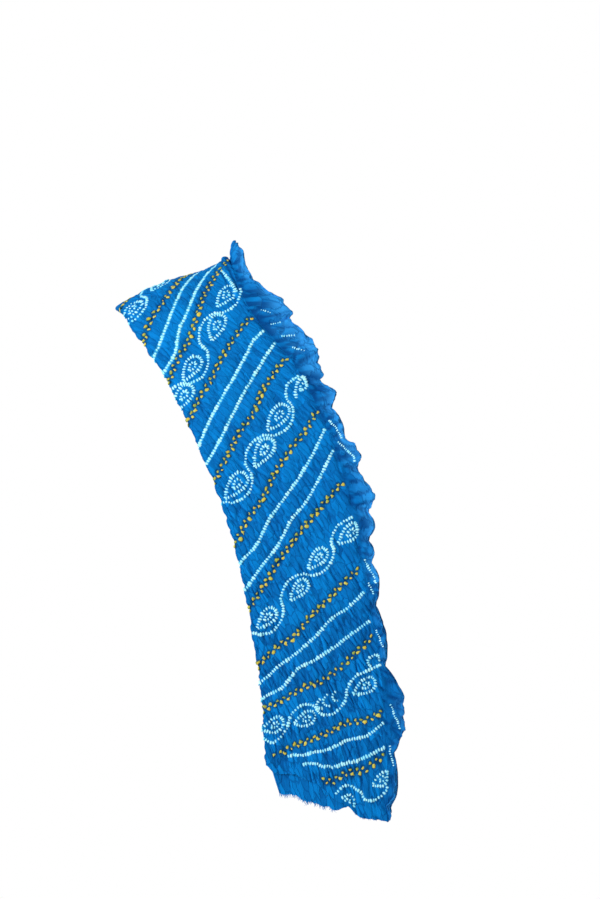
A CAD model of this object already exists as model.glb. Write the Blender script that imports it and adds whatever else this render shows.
"""Dupatta stole in crinkled tie-dyed voile, as it hangs when worn over one shoulder.

The cloth is folded lengthwise once. The tied outer layer, its untied frilled margin and the under
layer are made stretch by stretch (front fall, shoulder, back fall) on the stole's own surface, then
every tie is set on the cloth, row by row, and the raw hems get their loose threads.

Two numbers place a point of the cloth. `run` goes along the stole: 0 on the shoulder ridge, +1 at
the end of the front fall's fold edge, -1 at the end of the back fall's. `across` goes over its
width: 0 at the fold edge, 1 at the last tied row, 2 at the selvedge. Lengths are in metres, and in
millimetres where a table's column says so.
"""
import math
from collections import namedtuple

import bpy
import numpy as np
from bpy.props import FloatProperty, FloatVectorProperty, PointerProperty
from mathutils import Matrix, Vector, kdtree


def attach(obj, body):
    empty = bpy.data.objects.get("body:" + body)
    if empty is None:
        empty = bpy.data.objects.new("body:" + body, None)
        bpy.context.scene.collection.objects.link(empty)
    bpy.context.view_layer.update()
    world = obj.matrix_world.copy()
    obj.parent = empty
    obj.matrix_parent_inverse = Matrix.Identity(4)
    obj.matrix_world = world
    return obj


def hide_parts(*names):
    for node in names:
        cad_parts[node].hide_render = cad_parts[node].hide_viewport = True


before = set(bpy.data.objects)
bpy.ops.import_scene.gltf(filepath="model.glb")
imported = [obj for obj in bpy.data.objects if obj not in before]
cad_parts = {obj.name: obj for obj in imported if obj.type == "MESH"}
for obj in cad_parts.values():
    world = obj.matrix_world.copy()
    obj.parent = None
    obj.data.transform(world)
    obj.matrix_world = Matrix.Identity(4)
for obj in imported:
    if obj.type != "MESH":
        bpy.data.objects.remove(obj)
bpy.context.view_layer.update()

bl_info = {
    "name": "Tied dupatta stole",
    "version": (1, 0, 0),
    "blender": (4, 5, 0),
    "location": "3D View > Sidebar > Stole",
    "description": "A crinkled tie-dyed stole, folded lengthwise and hung over one shoulder",
    "category": "Add Mesh",
}

MM = 0.001
WALL = 1.2 * MM
REST_CLEARANCE = 1.0 * MM
LAYER_PITCH = 3.2 * MM
PROBE_RUN = 0.0008
PROBE_ACROSS = 0.004
OUTER_RISE = REST_CLEARANCE + WALL / 2 + LAYER_PITCH

# ------------------------------------------------------------------ the figure under the cloth
FIGURE_MIDDLE_X = 131 * MM
FIGURE_HALF_WIDTH = 225 * MM
FIGURE_ROUNDNESS = 3.0
SHOULDER_SLOPE = 0.28
SHOULDER_TIP_BEND = 3.0
SHOULDER_RADIUS = 60 * MM
QUARTER_ROUND = SHOULDER_RADIUS * math.pi / 2

Depth = namedtuple("Depth", "height_mm front_mm back_mm")
FIGURE_DEPTHS = [
    Depth(-800, 104, 78),
    Depth(-650, 106, 79),
    Depth(-500, 111, 82),
    Depth(-400, 116, 88),
    Depth(-300, 121, 97),
    Depth(-250, 121, 101),
    Depth(-200, 115, 101),
    Depth(-150, 103, 97),
    Depth(-100, 88, 88),
    Depth(-50, 71, 73),
    Depth(0, 55, 58),
    Depth(60, 45, 47),
]

Section = namedtuple("Section", "fold_x_mm fold_drop_mm tie_x_mm tie_drop_mm")
SECTIONS = [                    # from the back hem over the shoulder ridge to the front hem
    Section(102, -560, 226, -640),
    Section(97, -492, 222, -564),
    Section(86, -422, 212, -484),
    Section(70, -352, 198, -403),
    Section(46, -281, 178, -322),
    Section(16, -210, 150, -240),
    Section(-16, -138, 114, -158),
    Section(-47, -69, 77, -81),
    Section(-67, 0, 61, 0),
    Section(-45, 72, 80, 86),
    Section(-7, 145, 130, 164),
    Section(25, 219, 169, 249),
    Section(54, 294, 195, 337),
    Section(75, 371, 210, 427),
    Section(89, 449, 226, 517),
    Section(99, 527, 235, 605),
    Section(104, 603, 235, 691),
]
SECTIONS_PER_FALL = 8
FALL_LENGTH = 650 * MM
TIED_WIDTH = 150 * MM

# ------------------------------------------------------------------------------ frilled margin
Wave = namedtuple("Wave", "crest_run reach_mm lift_mm notch_run notch_reach_mm")
FRONT_WAVES = [
    Wave(0.000, 10, 28, 0.064, 14),
    Wave(0.090, 18, 9, 0.110, 29),
    Wave(0.143, 39, 9, 0.167, 36),
    Wave(0.199, 37, 9, 0.222, 33),
    Wave(0.243, 31, 9, 0.264, 24),
    Wave(0.280, 24, 7, 0.296, 16),
    Wave(0.322, 26, 11, 0.343, 15),
    Wave(0.369, 19, 9, 0.398, 16),
    Wave(0.424, 25, 11, 0.449, 17),
    Wave(0.486, 25, 12, 0.514, 19),
    Wave(0.537, 23, 9, 0.559, 13),
    Wave(0.578, 17, 7, 0.595, 12),
    Wave(0.620, 17, 9, 0.662, 8),
    Wave(0.715, 12, 9, 0.762, 5),
    Wave(0.820, 24, 8, 0.902, 9),
    Wave(0.953, 12, 8, 0.990, 2),
]
LAST_CREST = Wave(1.030, 9, 6, 1.060, 9)
BACK_WAVES = 14
BACK_WAVE_PITCH = 0.0655
BACK_REACH = 22 * MM
BACK_REACH_UNEVEN = 6 * MM
BACK_LIFT = 9 * MM
BACK_LIFT_UNEVEN = 2 * MM
BACK_NOTCH_DEPTH = 9 * MM
BACK_CREST_PLACE, BACK_CREST_PLAY = 0.45, 0.10      # of the way between two notches
BACK_TURNS = (2.1, 1.7, 2.3)    # a wave's place, reach and lift vary by so much of a turn each
BACK_REACH_START = 0.6
NOTCH_LIFT = 1.5 * MM
EDGE_NOTCH_DEPTH = 0.24
EDGE_CURL = 0.35
EDGE_CURL_POWER = 4
MARGIN_RISE_POWER = 1.5
MARGIN_REACH_POWER = 1.6
CREST_BREADTH, RIDGE_BREADTH = 0.75, 0.45
RIDGE_RUN = 0.055               # the cloth heaps up over this stretch of the shoulder ridge
HEAP_ACROSS, HEAP_WIDTH, HEAP_HEIGHT = 0.968, 0.045, 4.5 * MM
RIDGE_LEAN = 3.0 * MM
RIDGE_SPREAD, RIDGE_SPREAD_RUN, RIDGE_SPREAD_WIDTH = 6.5 * MM, 0.040, 0.022
RIDGE_CLOSING = 0.55
UNDER_MARGIN_SHARE = 0.86
DRAG_SHARE = 0.16
DRAG_LENGTH = 0.17
FOLD_STEPS = 3                  # steps of `across` below zero, round the folded edge
FOLD_RETURN = 2.0 * MM
FOLD_PLAY = 1.3 * MM
SHOULDER_END_RUN = 0.1075

Hem = namedtuple("Hem", "across outer_mm under_mm")
FRONT_HEM = [
    Hem(0.00, 0, 1),
    Hem(0.05, 3, 5),
    Hem(0.08, 4, 27),
    Hem(0.26, -3, 24),
    Hem(0.43, 0, 25),
    Hem(0.55, 7, 21),
    Hem(0.66, 9, 12),
    Hem(0.74, 16, 10),
    Hem(0.86, 15, 8),
    Hem(1.00, 10, 4),
    Hem(1.40, 7, 2),
    Hem(2.00, -4, -9),
]
BACK_HEM = [
    Hem(0.00, 0, 2),
    Hem(0.05, 2, 5),
    Hem(0.08, 3, 17),
    Hem(0.43, 6, 21),
    Hem(0.65, 2, 12),
    Hem(1.00, 8, 3),
    Hem(2.00, 5, 0),
]
HEM_EASE_RUN = 0.10
RAGGED = {"outer": 1.4 * MM, "under": 2.6 * MM}
RAGGED_PITCH = 4.5 * MM
RAGGED_SWELL, RAGGED_SWELL_PITCH = 2.2, 15 * MM

# --------------------------------------------------------------------------------- tied pattern
# A row crosses the stole on the slant, from the fold edge to the frill; bow is how far its middle
# sags along the run.
TiedRow = namedtuple("TiedRow", "dye fold_run tie_run bow")
FRONT_ROWS = [
    TiedRow("yellow", 0.162, -0.100, 0.013),
    TiedRow("white", 0.205, -0.075, 0.012),
    TiedRow("white", 0.235, -0.025, 0.015),
    TiedRow("yellow", 0.257, 0.020, 0.003),
    TiedRow("yellow", 0.341, 0.153, -0.018),
    TiedRow("white", 0.393, 0.184, -0.024),
    TiedRow("white", 0.430, 0.212, -0.013),
    TiedRow("yellow", 0.463, 0.238, -0.010),
    TiedRow("yellow", 0.583, 0.346, -0.011),
    TiedRow("white", 0.627, 0.375, -0.002),
    TiedRow("white", 0.669, 0.413, 0.001),
    TiedRow("yellow", 0.710, 0.470, -0.018),
    TiedRow("yellow", 0.816, 0.602, -0.003),
    TiedRow("white", 0.842, 0.639, -0.006),
    TiedRow("white", 0.878, 0.687, -0.011),
    TiedRow("yellow", 0.897, 0.715, 0.004),
    TiedRow("yellow", 0.977, 0.834, 0.000),
    TiedRow("white", 0.998, 0.860, 0.000),
    TiedRow("white", 1.015, 0.893, 0.000),
    TiedRow("yellow", 1.040, 0.902, 0.006),
]
BACK_ROW_SLANT, BACK_ROW_BOW = 0.250, 0.004
BACK_STEPS = (("yellow", 0.120), ("white", 0.040), ("white", 0.037), ("yellow", 0.036))
BACK_REPEATS = 6

# The band between two yellow rows holds a vine that winds between leaves. The vine passes the
# first leaf, next to the frill, on the side given; after that the sides take turns. Leaves are
# given by their place across; one of them may be drawn in another way.
VineBand = namedtuple("VineBand", "first_side size leaves odd_leaf odd_drawing",
                      defaults=(None, None))
ABOVE, BELOW = -1, 1
FRONT_VINES = [                 # from the shoulder down
    VineBand(ABOVE, 0.88, (0.85, 0.60, 0.34, 0.07)),
    VineBand(BELOW, 0.88, (0.865, 0.61, 0.235, 0.02)),
    VineBand(ABOVE, 0.95, (0.94, 0.68, 0.43, 0.16), 0, "open"),
    VineBand(ABOVE, 0.81, (0.92, 0.66, 0.42, 0.14)),
    VineBand(ABOVE, 0.80, (0.84, 0.56, 0.33, 0.07), 1, "commas"),
]
BACK_VINES = [
    VineBand(BELOW, 0.92, (0.90, 0.66, 0.41, 0.15)),
    VineBand(ABOVE, 0.96, (0.93, 0.70, 0.45, 0.20)),
    VineBand(BELOW, 0.90, (0.86, 0.58, 0.33, 0.08), 1, "commas"),
]
# A leaf is drawn with teardrops, or in a looser drawing with arcs. A stroke starts and ends at
# the given turns; the other values are its size and how far its middle lies towards the tip, both
# in half lengths of the leaf.
Teardrop = namedtuple("Teardrop", "start end share back")
Arc = namedtuple("Arc", "middle size start end")
LEAF_DRAWINGS = {
    "whole": [Teardrop(0.0, 1.0, 1.0, 0.0), Teardrop(0.0, 1.0, 0.36, -0.16)],
    "open": [Teardrop(0.08, 0.62, 0.85, 0.0), Teardrop(0.45, 1.10, 0.55, -0.35),
             Teardrop(0.10, 0.70, 0.30, -0.10)],
    "commas": [Arc(middle, size, 0.24, -0.24)
               for middle, size in ((0.65, 0.50), (-0.05, 0.60), (-0.75, 0.50))],
    "hook": [Arc(0.0, 0.80, 0.50, -0.25)],
}
LEAF_BELLY, LEAF_POINT, ARC_BREADTH = 1.25, 1.1, 1.3
SMALL_LEAF_RUN, SMALL_LEAF_ACROSS, SMALL_LEAF_SIZE = 0.758, 0.96, 0.56
HEM_KEEP = ((0.20, 0.970), (0.55, 0.993), (1.00, 0.998))    # across, furthest run with ties

# How ties are set along a line: pitch, size and height in metres, dye 0 for white and 1 for
# yellow, how much a tie tints the cloth round it, and how loosely it keeps to its place.
Kind = namedtuple("Kind", "pitch length width height dye halo loose")
TIE_HEIGHT = 1.1 * MM
VINE_HALO = 0.55
WHITE_KIND = Kind(2.85 * MM, 3.8 * MM, 5.1 * MM, TIE_HEIGHT, 0.0, 1.0, 0.10)
HEM_WHITE_KIND = Kind(2.70 * MM, 2.9 * MM, 5.6 * MM, TIE_HEIGHT, 0.0, 0.6, 0.10)
YELLOW_KIND = Kind(3.7 * MM, 4.8 * MM, 4.6 * MM, TIE_HEIGHT * 1.15, 1.0, 1.0, 0.14)
VINE_KIND = Kind(3.0 * MM, 3.0 * MM, 4.5 * MM, TIE_HEIGHT, 0.0, VINE_HALO, 0.10)
RING_KIND = Kind(2.85 * MM, 2.5 * MM, 5.4 * MM, TIE_HEIGHT, 0.0, VINE_HALO, 0.08)
COMMA_KIND = RING_KIND._replace(pitch=2.8 * MM)
INNER_RING_THINNER = 0.9 * MM
OLIVE_LENGTH, OLIVE_WIDTH = 4.5 * MM, 4.1 * MM      # every second yellow tie
YELLOW_ZIGZAG = 2.0 * MM
TIE_LEAST, TIE_PLAY = 0.78, 0.40        # of the size that a tie's kind gives
TIE_SIDES, STAR_SIDES, FEW_SIDES = 6, 7, 4
FOOT_NARROWING = 0.96
KNOB_STEPS = ((0.50, 0.76), (0.22, 0.50))   # how far each step rises, and how much it narrows
TIE_ROUGHNESS = 0.30            # of a tie's half size
STAR_DEPTH = 0.80               # of a star-shaped tie's half size
TIE_SKEW = 0.5
TIE_STRAY = 0.7 * MM
LOWER_STEEPNESS, LOWER_DELAY = 1.3, 0.2     # how the lower falls' looks come in along the run
ROW_START, ROW_END, ROW_SAMPLES = -0.035, 0.985, 400
ROW_WOBBLE, ROW_WOBBLES = 0.006, 6      # of a run, and how many across
LINE_SAMPLES = 60
KEEP_FROM, KEEP_TO = -0.034, 1.9        # ties lie between these places across
INSIDE_FROM = 0.04              # nearer to the fold, ties don't show inside
LEAF_HALF_LENGTH = 15.5 * MM
LEAF_HALF_WIDTH = 11.0 * MM
LEAF_ASIDE = 4.0 * MM
LEAF_LEAN, LEAF_TURN = 0.25, 0.05       # how unevenly leaves lean, and their turn to the vine
LEAF_LEAST, LEAF_PLAY = 0.94, 0.12      # of the size that the band gives
VINE_START, VINE_TAIL, VINE_SAMPLES = 1.03, 0.22, 24
FOLD_END = -0.04                # a vine ends here, just round the fold edge
VINE_SWING = 15.0 * MM
VINE_SQUARENESS = 0.6

# The hem cuts through one more vine: the row that would follow it, and its leaves.
ROW_PAST_HEM = TiedRow("yellow", 1.090, 0.985, 0.000)
HEM_VINE = VineBand(BELOW, 0.62, (0.95, 0.66))
# The first vine starts with a straight lead beside the frill; its ends are (run, across).
LEAD_START, LEAD_END = (0.045, 0.905), (0.105, 0.968)
# Here and there a row was carried on, out on the frill, as a few smaller white ties.
STRAY_SHARE = 0.75              # of the front rows
STRAY_FIRST, STRAY_UNEVEN = 1.10, 0.16
STRAY_LENGTH = 0.30             # of the margin
STRAY_SIZE = 0.50
STRAY_RISE, STRAY_SLOPE = 0.010, 0.10

# --------------------------------------------------------------------------------------- crinkle
# Sizes of the uneven swells that vary the cloth: metres long and wide on the tied cloth, and
# metres long with a number over the margin's width on the frill.
CREASE_BENDS, BOLD_PATCHES = (13 * MM, 10 * MM), (10 * MM, 17 * MM)
PUCKER_BENDS, FACETS, CLOTH_SWELLS = (9 * MM, 6 * MM), (4.6 * MM, 6.5 * MM), (13 * MM, 17 * MM)
EDGE_NOTCHES, FRILL_SLANTS, FRILL_STAGGERS = (6.5 * MM, 0), (23 * MM, 0), (21 * MM, 0.9)
FRILL_PUCKER_SHIFTS, RUFFLES, LOBES = (8 * MM, 1), (10 * MM, 1.6), (16 * MM, 1.3)

# Folds set in the cloth one by one; places are (run, across).
Fold = namedtuple("Fold", "width_mm depth_mm places")
FOLDS = [
    Fold(1.7, 2.0, ((0.002, 0.925), (0.030, 0.950), (0.060, 0.975), (0.101, 0.990))),
    Fold(1.5, 1.5, ((0.048, 0.900), (0.070, 0.910), (0.094, 0.918), (0.125, 0.922))),
    Fold(1.3, 1.6, ((0.205, 1.800), (0.213, 1.552), (0.235, 1.248), (0.256, 1.036))),
    Fold(1.3, 1.4, ((0.160, 1.950), (0.171, 1.594), (0.198, 1.193))),
    Fold(1.4, 1.6, ((0.376, 1.423), (0.400, 1.359), (0.426, 1.294))),
    Fold(1.2, 1.4, ((0.289, 1.211), (0.313, 1.317), (0.327, 1.562), (0.334, 1.885))),
    Fold(1.4, 1.5, ((0.880, 0.300), (0.915, 0.380), (0.950, 0.430), (0.985, 0.450))),
    Fold(1.4, 1.5, ((0.900, 0.750), (0.930, 0.790), (0.970, 0.800))),
    Fold(1.3, 1.4, ((0.930, 0.150), (0.955, 0.220), (0.990, 0.240))),
    Fold(1.6, 1.8, ((-0.004, 0.930), (-0.050, 0.955), (-0.105, 0.980))),
    Fold(1.5, 1.5, ((-0.200, 0.860), (-0.245, 0.800), (-0.300, 0.770))),
    Fold(1.5, 1.6, ((-0.360, 0.300), (-0.400, 0.350), (-0.455, 0.370), (-0.500, 0.360))),
    Fold(1.5, 1.6, ((-0.610, 0.700), (-0.660, 0.660), (-0.720, 0.670))),
    Fold(1.5, 1.6, ((-0.830, 0.250), (-0.880, 0.310), (-0.950, 0.330))),
]
FOLD_FLOOR = 2.2 * MM           # no fold goes deeper, as the under layer lies there
FOLD_NEAR_RUN = 0.02            # a fold is looked for only this near to it

PINCH_WIDTH = 0.018             # of a run
FOLD_SCALLOP = 0.9 * MM
FOLD_UNEVEN, FOLD_UNEVEN_PITCH = 0.9 * MM, 7 * MM
SCALLOP_WIDTH = 0.15
PUFF_HEIGHT = 0.50 * MM
PINCH_DEPTH = 0.50 * MM
HELD_REACH = 2.6 * MM           # a row of ties holds the cloth down this far to each side
SWELL_HEIGHT = 1.0 * MM
FACET_HEIGHT = 0.9 * MM
CREASE_LEAN = 0.27              # creases run down the stole and lean towards the frill,
LOWER_LEAN = 0.50               # more so lower down
CREASE_PITCH, CREASE_LENGTH, CREASE_WIDTH = 7.8 * MM, 20 * MM, 0.32
CREASE_DARK_WIDTH = CREASE_WIDTH * 0.62
CREASE_BEND, CREASE_STAGGER, CREASE_STAGGER_WIDTH = 7 * MM, 0.4, 6 * MM
CREASE_DEPTH = 2.7 * MM
PUCKER_PITCH, PUCKER_LENGTH, PUCKER_WIDTH = 3.6 * MM, 10 * MM, 0.36
PUCKER_DEPTH, PUCKER_BEND = 0.75 * MM, 2.5 * MM
PUCKER_REACH = 7 * MM
RELIEF_LIMIT = 1.8 * MM
HALO_REACH = 3.0 * MM
STAIN_REACH = 3.7 * MM
KNOT_REACH = 2.5 * MM
KNOT_DEPTH = 0.35 * MM
GATHER_PITCH, GATHER_WIDTH = 6.4 * MM, 0.40
GATHERED_WIDTH = 0.030
GATHER_REACH = 0.20             # of the margin
GATHER_DEPTH = 1.1 * MM
FRILL_BLEND = 0.20              # of the margin, where tied cloth turns into frill
FRILL_SLANT = 10 * MM
FRILL_FOLD_PITCH, FRILL_FOLD_WIDTH = 11.5 * MM, 0.42
FRILL_DARK_WIDTH = FRILL_FOLD_WIDTH * 0.5
FRILL_FOLD_DEPTH = 3.6 * MM
FRILL_PUCKER_PITCH, FRILL_PUCKER_DEPTH = 5.5 * MM, 1.0 * MM
RUFFLE_HEIGHT = 3.2 * MM
SELVEDGE_START, SELVEDGE_WIDTH = 0.94, 0.06
FRILL_STEPS = 24

FRILL_LINES = (12.0, 85.0, 1.0)         # patches in a metre, across and along the stole
CREASE_LINES = (150.0, 62.0, 1.0)
FRILL_LINE_BEND, CREASE_LINE_BEND = 55.0, 110.0
LINE_WIDTH = 0.12
FOOT_START = 0.36               # of a tie's height, where the dye ends
LIGHTER_DYE = 1.18
CLOTH_SPECULAR = 0.04
UNDER_DARKENING = 0.35
MIX_COLOUR_OUTPUT = 2           # a Mix node's colour comes out third
THREADS_PER_METRE = 400.0

FLOOR_RADIUS = 3.3
BACKGROUND_LEVEL = 1.0
CAMERA_DISTANCE = 2.6
PIXEL = 1.15 * MM               # of the picture, at the origin's distance
PICTURE_WIDTH, PICTURE_HEIGHT = 600, 899
ORIGIN_COLUMN, ORIGIN_ROW = 178, 282.7
CAMERA_X = (PICTURE_WIDTH / 2 - ORIGIN_COLUMN) * PIXEL
CAMERA_Z = (ORIGIN_ROW - PICTURE_HEIGHT / 2) * PIXEL
FLOOR_COLOUR = (0.93, 0.93, 0.94)
LAMPS_POINT_AT = (0.10, -0.08, -0.27)


# ----------------------------------------------------------------------------------- small sums
def ease(share):
    """Zero to one with level ends."""
    share = np.clip(share, 0.0, 1.0)
    return share * share * (3.0 - 2.0 * share)


def spline(values, places):
    """Read evenly spaced values at places counted in steps, through a Catmull-Rom curve."""
    values = np.asarray(values, dtype=float)
    last = len(values) - 1
    step = np.clip(np.floor(places).astype(int), 0, last - 1)
    share = places - step
    before = np.where(step > 0, values[np.maximum(step - 1, 0)], 2 * values[0] - values[1])
    start = values[step]
    end = values[step + 1]
    beyond = 2 * values[last] - values[last - 1]
    after = np.where(step < last - 1, values[np.minimum(step + 2, last)], beyond)
    slope_in = (end - before) / 2
    slope_out = (after - start) / 2
    return (
        (2 * share**3 - 3 * share**2 + 1) * start
        + (share**3 - 2 * share**2 + share) * slope_in
        + (3 * share**2 - 2 * share**3) * end
        + (share**3 - share**2) * slope_out
    )


def unit(vectors):
    return vectors / np.maximum(np.linalg.norm(vectors, axis=-1, keepdims=True), 1e-12)


def bell(value, width):
    """1 where the value is 0, falling away smoothly to nothing over about two widths."""
    return np.exp(-((value / width) ** 2))


def scatter(cell_x, cell_y, seed):
    """A fixed value from 0 to 1 for each whole-numbered cell."""
    mixed = np.asarray(cell_x).astype(np.int64) * 374761393
    mixed = mixed + np.asarray(cell_y).astype(np.int64) * 668265263
    mixed = (mixed + seed * 2147483647) & 0xFFFFFFFF
    mixed = ((mixed ^ (mixed >> 13)) * 1274126177) & 0xFFFFFFFF
    return ((mixed ^ (mixed >> 16)) & 0xFFFF) / 65535.0


def drift(x, y, seed):
    """Smooth uneven value from 0 to 1 over the plane, one swell per unit."""
    cell_x, cell_y = np.floor(x), np.floor(y)
    share_x, share_y = ease(x - cell_x), ease(y - cell_y)
    low = (scatter(cell_x, cell_y, seed) * (1 - share_x)
           + scatter(cell_x + 1, cell_y, seed) * share_x)
    high = (scatter(cell_x, cell_y + 1, seed) * (1 - share_x)
            + scatter(cell_x + 1, cell_y + 1, seed) * share_x)
    return low * (1 - share_y) + high * share_y


def swells(x, y, size, seed):
    """Drift over the tied cloth, its swells as long and as wide as given."""
    return drift(x / size[0], y / size[1], seed)


def borders(x, y, seed, width):
    """Uneven patches, one to each unit square: 1 on the borders between them, 0 away from them."""
    cell_x, cell_y = np.floor(x), np.floor(y)
    nearest = np.full(np.shape(x), 9.0)
    second = nearest
    for step_x in (-1, 0, 1):
        for step_y in (-1, 0, 1):
            near_x, near_y = cell_x + step_x, cell_y + step_y
            distance = np.hypot(x - near_x - scatter(near_x, near_y, seed),
                                y - near_y - scatter(near_x, near_y, seed + 1))
            second = np.minimum(second, np.maximum(nearest, distance))
            nearest = np.minimum(nearest, distance)
    return bell(second - nearest, width)


def margin_share(across):
    """0 at the last tied row, 1 at the selvedge."""
    return np.clip(across - 1.0, 0.0, 1.0)


def frill_swells(run, margin, size, seed):
    """Drift over the margin, its swells as long as given, so many of them over its width."""
    return drift(run * FALL_LENGTH / size[0], margin * size[1], seed)


# ------------------------------------------------------------------------------ figure and cloth
def ridge_height(x):
    return SHOULDER_SLOPE * x - SHOULDER_TIP_BEND * np.minimum(x, 0.0) ** 2


def figure_depth(height, front):
    heights, fronts, backs = np.array(FIGURE_DEPTHS).T * MM
    places = np.interp(height, heights, np.arange(len(heights)))
    return np.where(front, spline(fronts, places), spline(backs, places))


def figure_point(x, drop):
    """The point of the figure that lies `drop` over the front (+) or the back (-)."""
    turn = np.clip(np.abs(drop) / SHOULDER_RADIUS, 0.0, math.pi / 2)
    below = SHOULDER_RADIUS * (1 - np.cos(turn)) + np.maximum(np.abs(drop) - QUARTER_ROUND, 0.0)
    z = ridge_height(x) - below
    side = np.clip(np.abs(x - FIGURE_MIDDLE_X) / FIGURE_HALF_WIDTH, 0.0, 0.99)
    round_off = (1 - side**FIGURE_ROUNDNESS) ** (1 / FIGURE_ROUNDNESS)
    y = -np.sign(drop) * figure_depth(z, drop > 0) * round_off * np.sin(turn)
    return np.stack([x, y, z], axis=-1)


def figure_normal(x, drop):
    step = 0.5 * MM
    sideways = figure_point(x + step, drop) - figure_point(x - step, drop)
    downwards = figure_point(x, drop + step) - figure_point(x, drop - step)
    return unit(np.cross(downwards, sideways))


def section_at(run):
    """Fold edge and last tied row (x, drop of each) at a run."""
    places = (run + 1.0) * SECTIONS_PER_FALL
    return [spline(line, places) for line in np.array(SECTIONS).T * MM]


def wave_knots(wave, side):
    """(run, reach, lift) of a wave's crest and of the notch past it."""
    return [(side * wave.crest_run, wave.reach_mm * MM, wave.lift_mm * MM),
            (side * wave.notch_run, wave.notch_reach_mm * MM, NOTCH_LIFT)]


def frill_knots():
    """(run, reach, lift) of every crest and notch, from the back hem to the front hem."""
    knots = []
    for wave in FRONT_WAVES + [LAST_CREST]:
        knots += wave_knots(wave, 1)
    first, second = FRONT_WAVES[:2]
    knots += wave_knots(first, -1)[1:] + wave_knots(second, -1)
    place_turn, reach_turn, lift_turn = BACK_TURNS
    for index in range(BACK_WAVES):
        crest_place = index + BACK_CREST_PLACE + BACK_CREST_PLAY * math.sin(place_turn * index)
        crest = -second.notch_run - BACK_WAVE_PITCH * crest_place
        notch = -second.notch_run - BACK_WAVE_PITCH * (index + 1.0)
        reach = BACK_REACH + BACK_REACH_UNEVEN * math.sin(reach_turn * index + BACK_REACH_START)
        lift = BACK_LIFT + BACK_LIFT_UNEVEN * math.sin(lift_turn * index)
        knots.append((crest, reach, lift))
        knots.append((notch, reach - BACK_NOTCH_DEPTH, NOTCH_LIFT))
    return np.array(sorted(knots))


FRILL_KNOTS = frill_knots()


def frill_at(run):
    """Reach and lift of the margin at a run: broad round crests between narrow notches."""
    runs, reaches, lifts = FRILL_KNOTS.T
    place = np.clip(np.searchsorted(runs, run) - 1, 0, len(runs) - 2)
    along = (run - runs[place]) / (runs[place + 1] - runs[place])
    falling = lifts[place] > lifts[place + 1]
    from_notch = np.clip(np.where(falling, 1 - along, along), 0.0, 1.0)
    breadth = np.where(np.abs(run) < FRONT_WAVES[0].notch_run, RIDGE_BREADTH, CREST_BREADTH)
    swell = np.sin(from_notch * math.pi / 2) ** breadth
    notch = np.where(falling, place + 1, place)
    crest = np.where(falling, place, place + 1)
    reach = reaches[notch] + swell * (reaches[crest] - reaches[notch])
    lift = lifts[notch] + swell * (lifts[crest] - lifts[notch])
    bulge = RIDGE_SPREAD * bell(np.abs(run) - RIDGE_SPREAD_RUN, RIDGE_SPREAD_WIDTH)
    return reach + bulge, lift


def stretched(run, across, layer):
    """Run with the raw hem's own line added near each end."""
    hangs = []
    for hem in (FRONT_HEM, BACK_HEM):
        widths = [row.across for row in hem]
        lengths = [getattr(row, layer + "_mm") * MM for row in hem]
        hangs.append(np.interp(across, widths, lengths))
    share = ease((np.abs(run) - 1 + HEM_EASE_RUN) / HEM_EASE_RUN)
    width = across * TIED_WIDTH
    fine = drift(width / RAGGED_PITCH, 0.0, 57) - 0.5
    broad = drift(width / RAGGED_SWELL_PITCH, 0.0, 58) - 0.5
    hang = np.where(run > 0, *hangs) + RAGGED[layer] * (fine + RAGGED_SWELL * broad)
    return run + np.sign(run) * share * hang / FALL_LENGTH


def on_ridge(run):
    return bell(run, RIDGE_RUN)


def cloth_place(run, across):
    """Where a point of the cloth lies over the figure, as x and drop."""
    fold_x, fold_drop, tie_x, tie_drop = section_at(run)
    width = np.hypot(tie_x - fold_x, tie_drop - fold_drop)
    toward_x = (tie_x - fold_x) / width
    toward_drop = (tie_drop - fold_drop) / width
    margin = margin_share(across)
    reach = frill_at(run)[0] * edge_notches(run, margin)
    out = np.clip(across, 0.0, 1.0) * width + reach * (1 - (1 - margin) ** MARGIN_REACH_POWER)
    out = out - RIDGE_LEAN * on_ridge(run) * 4 * margin * (1 - margin)
    return fold_x + toward_x * out, fold_drop + toward_drop * out


def edge_notches(run, margin):
    """The frill's edge runs in and out a little between its big waves."""
    return 1 + EDGE_NOTCH_DEPTH * (frill_swells(run, margin, EDGE_NOTCHES, 51) - 0.5) * margin


# -------------------------------------------------------------------------------- rows of ties
def all_rows():
    """Every tied row from the back hem to the front hem."""
    rows = list(FRONT_ROWS)
    fold_run = FRONT_ROWS[0].fold_run
    for _ in range(BACK_REPEATS):
        for dye, step in BACK_STEPS:
            fold_run -= step
            rows.insert(0, TiedRow(dye, fold_run, fold_run - BACK_ROW_SLANT, BACK_ROW_BOW))
    return rows


ROWS = all_rows()


def row_run(row, across):
    over = np.clip(across, 0.0, 1.0)
    return row.fold_run + (row.tie_run - row.fold_run) * over + row.bow * 4 * over * (1 - over)


def row_frames():
    """For each row: its fold end over the figure, its direction there, and how far the rows
    before it reach, both across them and along them."""
    folds, ways = [], []
    for row in ROWS:
        start = np.array(cloth_place(np.array(row.fold_run), np.array(0.0)))
        end = np.array(cloth_place(np.array(row.tie_run), np.array(1.0)))
        folds.append(start)
        ways.append((end - start) / np.linalg.norm(end - start))
    folds, ways = np.array(folds), np.array(ways)
    over, along = [0.0], [0.0]
    for index in range(1, len(ROWS)):
        step = folds[index] - folds[index - 1]
        way = unit((ways[index] + ways[index - 1]) / 2)
        along.append(along[-1] + float(step @ way))
        over.append(over[-1] + abs(float(step[1] * way[0] - step[0] * way[1])))
    return folds, ways, np.array(over), np.array(along)


ROW_FOLDS, ROW_WAYS, ROW_OVERS, ROW_ALONGS = row_frames()


RowField = namedtuple("RowField", "along over above below")


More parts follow.
